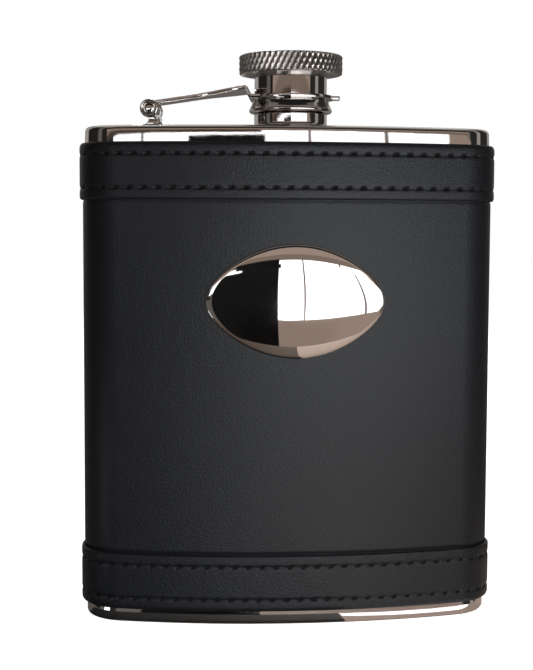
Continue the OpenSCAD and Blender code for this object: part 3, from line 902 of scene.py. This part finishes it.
bmesh.ops.triangle_fill(work, use_beauty=True, edges=work.edges[:])
for near, far in zip(rows, rows[1:]):
    for i in range(len(across) - 1):
        work.faces.new((near[i], near[i + 1], far[i + 1], far[i]))
for vert in work.verts:
    x = np.interp(-vert.co.x, -side_run, side_at[:, 0])
    z = np.interp(-vert.co.x, -side_run, side_at[:, 1])
    vert.co = (x, vert.co.y, z)
arm = make_object("bent_arm", keep(work, "captive_arm"), buffed)
sheet = arm.modifiers.new("sheet", "SOLIDIFY")
sheet.thickness = STRIP_T
sheet.offset = 0
sheet.use_even_offset = True
rubbed = arm.modifiers.new("rubbed_edges", "BEVEL")
rubbed.width = 0.14 * MM
rubbed.segments = 2
rubbed.limit_method = "ANGLE"
rubbed.angle_limit = math.radians(60)
fit_piece(settle(arm), "arm", "captive_arm")

# --- Leather wrap ------------------------------------------------------------------------
# One sheet of thin black bonded leather, glued round the bottle with its two ends butted
# together down the middle of the back. Its grain is fine, even and nearly matt. The real
# grain is about 0.2 mm, and it is drawn coarser here so that it shows.
LEATHER_GRAIN = 0.45 * MM
WRAP_T = 0.5 * MM
SEAM = 0.2 * MM


def black_leather():
    """Bonded leather with a rolled fine grain: near-black with a soft cool sheen, a little glossier
    on the grain's tops. Where the thread pulls it in, painted shade makes it near black, and it is rougher."""
    made, tree = new_material("fine_grain_leather")
    place = add_node(tree, "ShaderNodeTexCoord").outputs["Object"]
    cells = add_node(tree, "ShaderNodeTexVoronoi", {
        "Vector": place, "Scale": 1 / LEATHER_GRAIN, "Randomness": 1.0})
    creases = noise(tree, 3200.0, Detail=3.0, Roughness=0.6)
    grain = maths(tree, "ADD", cells.outputs["Distance"], creases)
    colour = mix(tree, spread(tree, grain, 0.5, 1.3), linear("#0A0B0C"), linear("#111215"))
    rough = spread(tree, creases, 0.3, 0.7, 0.33, 0.43)
    sewn = add_node(tree, "ShaderNodeAttribute", attribute_name="pulled_in").outputs["Fac"]
    # Painted shade: where the thread pulls the leather in, the colour is mixed to near black.
    hole = spread(tree, sewn, 0.24, 0.46, kind="SMOOTHSTEP")
    return finished(made, {
        "Base Color": mix(tree, hole, colour, linear("#030304")),
        "Roughness": mix(tree, hole, rough, 0.9, "FLOAT"), "IOR": 1.46, "Specular IOR Level": 0.26,
        "Specular Tint": (0.95, 0.98, 1.0, 1.0), "Normal": bump(tree, grain, 0.6, 0.00009)})


leather = black_leather()
wrap_low, wrap_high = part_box("leather_wrap")
lower_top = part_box("lower_band")[1][2]
upper_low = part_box("upper_band")[0][2]
PRESS = 0.34 * MM
PRESS_W = 0.5 * MM
wrap_heights = np.concatenate([
    [wrap_low[2] + 1 * MM], lower_top + np.linspace(-0.9, 1.6, 16) * MM, np.linspace(20, 90, 12) * MM,
    upper_low + np.linspace(-1.6, 0.9, 16) * MM, [wrap_high[2] - 1 * MM]])
wrap_profile = (
    [(0, wrap_low[2]), (WRAP_T - 0.15 * MM, wrap_low[2]), (WRAP_T, wrap_low[2] + 0.15 * MM)]
    + [(WRAP_T - PRESS * math.exp(-((z - lower_top) / PRESS_W) ** 2)
        - 0.4 * PRESS * math.exp(-((z - upper_low) / PRESS_W) ** 2), z) for z in wrap_heights]
    + [(WRAP_T, wrap_high[2] - 0.15 * MM), (WRAP_T - 0.15 * MM, wrap_high[2]), (0, wrap_high[2])])
wrap_mesh = kidney_wall("leather_wrap", wrap_profile, OUTLINE_STEPS, WRAP_T, SEAM)
fit_piece(make_object("wrap_of_leather", wrap_mesh, leather), "flask", "leather_wrap")

# --- Stitched bands ----------------------------------------------------------------------
# Two straps of the same leather over the wrap's ends, with skived, rolled edges. Each has
# two rows of machine stitches, which pull the leather down into a shallow channel.
BAND_OUT = 1.2 * MM
STITCH_IN = 2.6 * MM
STEPS_PER_STITCH = 18
CHANNEL = 0.14 * MM
CHANNEL_W = 0.45 * MM
HOLE_DEEP = 0.58 * MM
HOLE_LONG = 0.52 * MM
HOLE_TALL = 0.28 * MM
HOLE_LEAN = 0.7


def band_profile(low, high, low_edge, high_edge):
    """The strap's section, from its back at the bottom, over its face, to its back at the top. Each
    edge is (how far in it starts to roll, how far it is skived)."""
    rows = (low + STITCH_IN, high - STITCH_IN)
    face = []
    for row in rows:
        face += [row + d for d in np.linspace(-1.1 * MM, 1.1 * MM, 17)]
    middle = list(np.linspace(rows[0] + 1.6 * MM, rows[1] - 1.6 * MM, 6))
    heights = sorted(face + middle)
    roll_low, skive_low = low_edge
    roll_high, skive_high = high_edge
    bottom = [(BAND_OUT - skive_low * (1 - math.cos(a)), low + roll_low * (1 - math.sin(a)))
              for a in np.linspace(math.pi / 2, 0, 7)]
    top = [(BAND_OUT - skive_high * (1 - math.cos(a)), high - roll_high * (1 - math.sin(a)))
           for a in np.linspace(0, math.pi / 2, 7)]
    face_points = [(BAND_OUT, z) for z in heights if low + roll_low < z < high - roll_high]
    return [(WRAP_T, low)] + bottom + face_points + top + [(WRAP_T, high)]


def stitch_pull(rows, pitch, starts):
    """How the thread pulls the strap's face in: a channel along each row and a hole at each stitch."""
    def shape(along, outs, heights):
        move = np.zeros(np.broadcast(along, heights).shape)
        for row, start in zip(rows, starts):
            up = heights - row
            move = move - CHANNEL * np.exp(-(up / CHANNEL_W) ** 2)
            step = ((along - start) / pitch + 0.5) % 1.0 - 0.5
            run = step * pitch - HOLE_LEAN * up
            move = move - HOLE_DEEP * np.exp(-(run / HOLE_LONG) ** 2 - (up / HOLE_TALL) ** 2)
        return move * np.clip((outs - WRAP_T) / (BAND_OUT - WRAP_T), 0, 1)
    return shape


def strap(name, node, stitches, left_of_middle, low_edge, high_edge):
    """One stitched band in the place of its CAD node, and each row's height, start and pitch. One
    stitch of each row falls this far to the left of the front's middle."""
    low, high = (corner[2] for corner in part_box(node))
    loop = kidney(2, BAND_OUT, SEAM)[2][-1]
    pitch = loop / stitches
    rows = (low + STITCH_IN, high - STITCH_IN)
    starts = [(loop / 2 - left) % pitch for left in left_of_middle]
    mesh = kidney_wall(name, band_profile(low, high, low_edge, high_edge), stitches * STEPS_PER_STITCH,
                       BAND_OUT, SEAM, stitch_pull(rows, pitch, starts))
    fit_piece(make_object(name, mesh, leather), "flask", node)
    return [(row, start, pitch, stitches) for row, start in zip(rows, starts)]


upper_rows = strap("upper_strap", "upper_band", 68, (10.65 * MM, 9.7 * MM),
                   (0.7 * MM, 0.55 * MM), (1.3 * MM, 0.7 * MM))
lower_rows = strap("lower_strap", "lower_band", 71, (10.75 * MM, 9.95 * MM),
                   (1.0 * MM, 0.7 * MM), (0.5 * MM, 0.62 * MM))

# --- Stitches ----------------------------------------------------------------------------
# Black bonded polyester thread, sewn by machine. Each stitch is a short slanting length of
# two-ply thread that dives into a hole at both ends, and there are four rows of them.
THREAD_R = 0.29 * MM


def stitch_tree():
    """A node tree that sets one length of thread at each hole of a row. The thread comes up thick and
    slanting out of its hole, then runs on, thin and tight, to the next. The points carry the way
    along the row and the way out of the leather."""
    tree, (points_in, long, radius, bow, slant, thick_part, finish) = new_tree(
        "stitch_row", "Stitch length", "Thread radius", "Bow", "Slant", "Thick part")
    spots = {}
    for name, along_it, up_it, out_it in (
            ("Start", -0.2, -1.0, -1.6), ("Start Handle", -0.05, 0.8, 1.0),
            ("End Handle", 0.35, 1.2, -0.4), ("End", 0.76, 0.4, -0.9)):
        spots[name] = add_node(tree, "ShaderNodeCombineXYZ", {
            0: maths(tree, "MULTIPLY", long, along_it), 1: maths(tree, "MULTIPLY", slant, up_it),
            2: maths(tree, "MULTIPLY", bow, out_it)}).outputs[0]
    curve = add_node(tree, "GeometryNodeCurvePrimitiveBezierSegment", {"Resolution": 9, **spots})
    way = add_node(tree, "GeometryNodeSplineParameter").outputs["Factor"]
    thick = maths(tree, "MULTIPLY", spread(tree, way, thick_part, 0.95, 1.0, 0.42), radius)
    ring = add_node(tree, "GeometryNodeCurvePrimitiveCircle", {"Resolution": 6, "Radius": 1.0})
    length = add_node(tree, "GeometryNodeCurveToMesh", {
        "Curve": curve.outputs[0], "Profile Curve": ring.outputs[0], "Scale": thick, "Fill Caps": True})
    level = add_node(tree, "FunctionNodeAxesToRotation", {
        "Primary Axis": carried(tree, "outward", "FLOAT_VECTOR"),
        "Secondary Axis": carried(tree, "along", "FLOAT_VECTOR")},
        primary_axis="Z", secondary_axis="X")
    placed = add_node(tree, "GeometryNodeInstanceOnPoints", {
        "Points": points_in, "Instance": length.outputs[0], "Rotation": level.outputs[0]})
    return end_tree(tree, placed.outputs[0], finish)


def black_thread():
    """Bonded polyester thread: deep black, dulled by its wax and its twist, so it shows darker than
    the leather round it."""
    made, tree = new_material("waxed_black_thread")
    place = add_node(tree, "ShaderNodeTexCoord").outputs["Object"]
    twist = add_node(tree, "ShaderNodeTexWave", {
        "Vector": place, "Scale": 900.0, "Distortion": 1.0}, bands_direction="DIAGONAL")
    return finished(made, {
        "Base Color": linear("#030304"), "Roughness": 0.8, "IOR": 1.5, "Specular IOR Level": 0.06,
        "Normal": bump(tree, twist.outputs["Fac"], 0.5, 0.0001)})


waxed = black_thread()
stitches = stitch_tree()
SUNK = 0.26 * MM


def stitch_row(name, node, row, thick_part, slant):
    """One row of stitches, each starting in a hole of its strap."""
    height, start, pitch, count = row
    points, normals, stops = kidney(count * 8 + 1, BAND_OUT, SEAM)
    spots, ways, outs = [], [], []
    for k in range(1, count - 1):
        here = start + k * pitch
        out = Vector([np.interp(here, stops, normals[:, i]) for i in (0, 1)]).normalized()
        spot = Vector([np.interp(here, stops, points[:, i]) for i in (0, 1)]) - out * SUNK
        spots.append((spot.x, spot.y, height))
        outs.append((out.x, out.y, 0.0))
        ways.append((-out.y, out.x, 0.0))
    mesh = bpy.data.meshes.new(name)
    mesh.from_pydata(spots, [], [])
    mark(mesh, "along", ways)
    mark(mesh, "outward", outs)
    stitched = make_object(name, mesh, waxed)
    run_tree(stitched, stitches, **{
        "Stitch length": float(pitch), "Thread radius": THREAD_R, "Bow": 0.2 * MM,
        "Slant": slant, "Thick part": thick_part, "Finish": waxed})
    stitched.data.shade_smooth()
    return fit_piece(stitched, "flask", node)


stitch_row("upper_strap_top_stitches", "upper_band_top_thread", upper_rows[1], 0.35, 0.2 * MM)
stitch_row("upper_strap_low_stitches", "upper_band_low_thread", upper_rows[0], 0.35, 0.26 * MM)
stitch_row("lower_strap_top_stitches", "lower_band_top_thread", lower_rows[1], 0.5, 0.14 * MM)
stitch_row("lower_strap_low_stitches", "lower_band_low_thread", lower_rows[0], 0.6, 0.08 * MM)

# --- Oval plate --------------------------------------------------------------------------
# A stamped, domed steel oval with pointed ends and a turned-down edge, bright as a mirror.
# White foam adhesive fills its back and holds it to the curved front of the wrap.
RIM_H = 0.5 * MM
OVAL_PINCH = 0.22
OVAL_STEPS = 144
plate_low, plate_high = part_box("badge_plate")
oval_w = plate_high[0] - plate_low[0]
oval_h = plate_high[2] - plate_low[2]
oval_x = (plate_high[0] + plate_low[0]) / 2
oval_z = (plate_high[2] + plate_low[2]) / 2
wrap_r = FRONT_R + WRAP_T
RISE = bend_y - wrap_r - RIM_H - plate_low[1]


def oval_ring(size, height):
    """One ring of the oval, rounder near its middle, at a height over the wrap."""
    ring = []
    for a in np.linspace(0, 2 * math.pi, OVAL_STEPS, endpoint=False):
        x = oval_x + size * oval_w / 2 * math.cos(a)
        pinch = 1 - OVAL_PINCH * size ** 2 * math.cos(a) ** 2
        z = oval_z + size * oval_h / 2 * math.sin(a) * pinch
        ring.append((x, bend_y - math.sqrt(wrap_r ** 2 - x ** 2) - height, z))
    return ring


def domed(name, rings):
    """A closed skin over rings, from the middle of the front to the middle of the back."""
    points = [p for ring in rings for p in ring]
    last = (len(rings) - 1) * OVAL_STEPS
    faces = grid_faces(len(rings), OVAL_STEPS, False, True)
    faces += [tuple(range(OVAL_STEPS)), tuple(range(last, last + OVAL_STEPS))]
    return smooth_mesh(name, points, faces, 60.0)


def mirror_plate():
    """Bright-plated steel, buffed to a mirror, with the faintest haze of handling."""
    made, tree = new_material("bright_plate")
    haze = noise(tree, 160.0, Detail=5.0)
    return finished(made, {
        "Base Color": linear("#E4E0DC"), "Metallic": 1.0,
        "Roughness": spread(tree, haze, 0.45, 0.75, 0.012, 0.05)})


def dome_height(size):
    """The plate's height at a ring, over its rim."""
    return RISE * (1 - size ** 2)


EDGE = 0.03
sizes = [0.02] + list(np.linspace(0.06, 1 - EDGE, 26))
front_rings = [oval_ring(s, RIM_H + dome_height(s)) for s in sizes]
edge_rings = [oval_ring(1 - EDGE * (1 - math.sin(a)),
                        RIM_H * math.cos(a) * 0.9 + dome_height(1 - EDGE) * math.cos(a))
              for a in np.linspace(0.2, math.pi / 2, 6)]
INNER = 0.955
back_rings = [oval_ring(s * INNER, dome_height(s)) for s in (1, 0.9, 0.75, 0.6, 0.4, 0.2, 0.02)]
plate_mesh = domed("oval_plate", front_rings + edge_rings + back_rings)
fit_piece(make_object("oval_plate", plate_mesh, mirror_plate()), "flask", "badge_plate")


def foam_adhesive():
    """White polyethylene foam with open, irregular cells."""
    made, tree = new_material("white_foam")
    place = add_node(tree, "ShaderNodeTexCoord").outputs["Object"]
    cells = add_node(tree, "ShaderNodeTexVoronoi", {"Vector": place, "Scale": 2500.0})
    return finished(made, {
        "Base Color": linear("#EDEDE8"), "Roughness": 0.85,
        "Normal": bump(tree, cells.outputs["Distance"], 0.5, 0.0002)})


FOAM_GAP = 0.05 * MM
foam_sizes = (0.02, 0.2, 0.4, 0.6, 0.75, 0.88, 0.96)
foam_rings = [oval_ring(s * (INNER - 0.01), dome_height(s) - FOAM_GAP) for s in foam_sizes]
foam_rings += [oval_ring(s * (INNER - 0.01), FOAM_GAP) for s in reversed(foam_sizes)]
fit_piece(make_object("foam_backing", domed("foam_backing", foam_rings), foam_adhesive()),
          "flask", "badge_adhesive")
